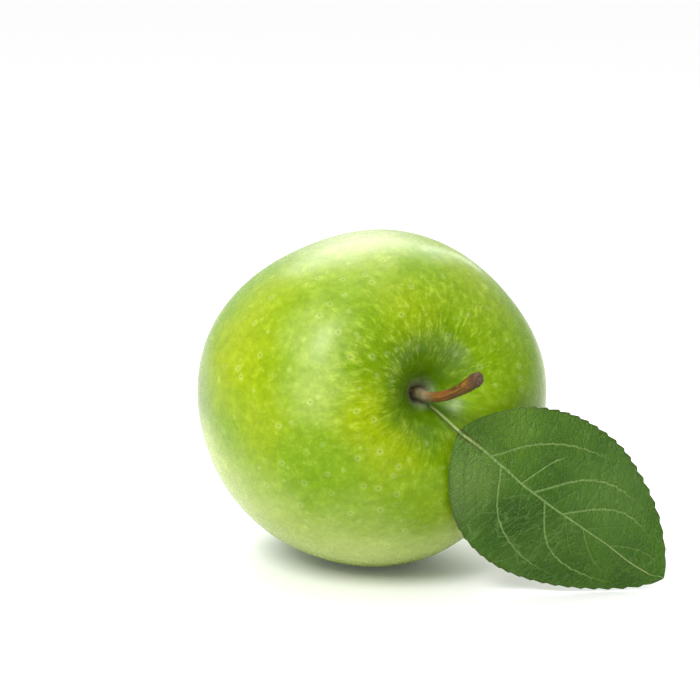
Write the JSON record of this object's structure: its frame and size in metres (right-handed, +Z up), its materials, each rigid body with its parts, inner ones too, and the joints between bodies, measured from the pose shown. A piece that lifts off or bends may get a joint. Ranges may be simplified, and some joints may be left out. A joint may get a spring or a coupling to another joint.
{
  "type": "green apple",
  "caption": "Whole green apple lying on its cheek, with a curved woody stem, a dried calyx and a toothed leaf on a short stalk.",
  "frame": {"origin": "centre of the small flat spot on the cheek that the apple rests on", "axes": "+Z up from the resting surface; the stem points towards -Y and +X, 25 degrees round from -Y and 13.6 degrees above level; the leaf hangs to +X"},
  "size_m": [0.1067, 0.0893, 0.0777],
  "materials": {
    "skin": "smooth waxy fruit skin, softly glossy",
    "bark": "fine matt bark",
    "dried_calyx": "matt, dry and papery",
    "leaf_green": "satin, finely veined"
  },
  "bodies": {
    "root": {"fruit": "skin", "stem": "bark", "calyx": "dried_calyx", "leaf": "leaf_green"}
  },
  "joints": []
}
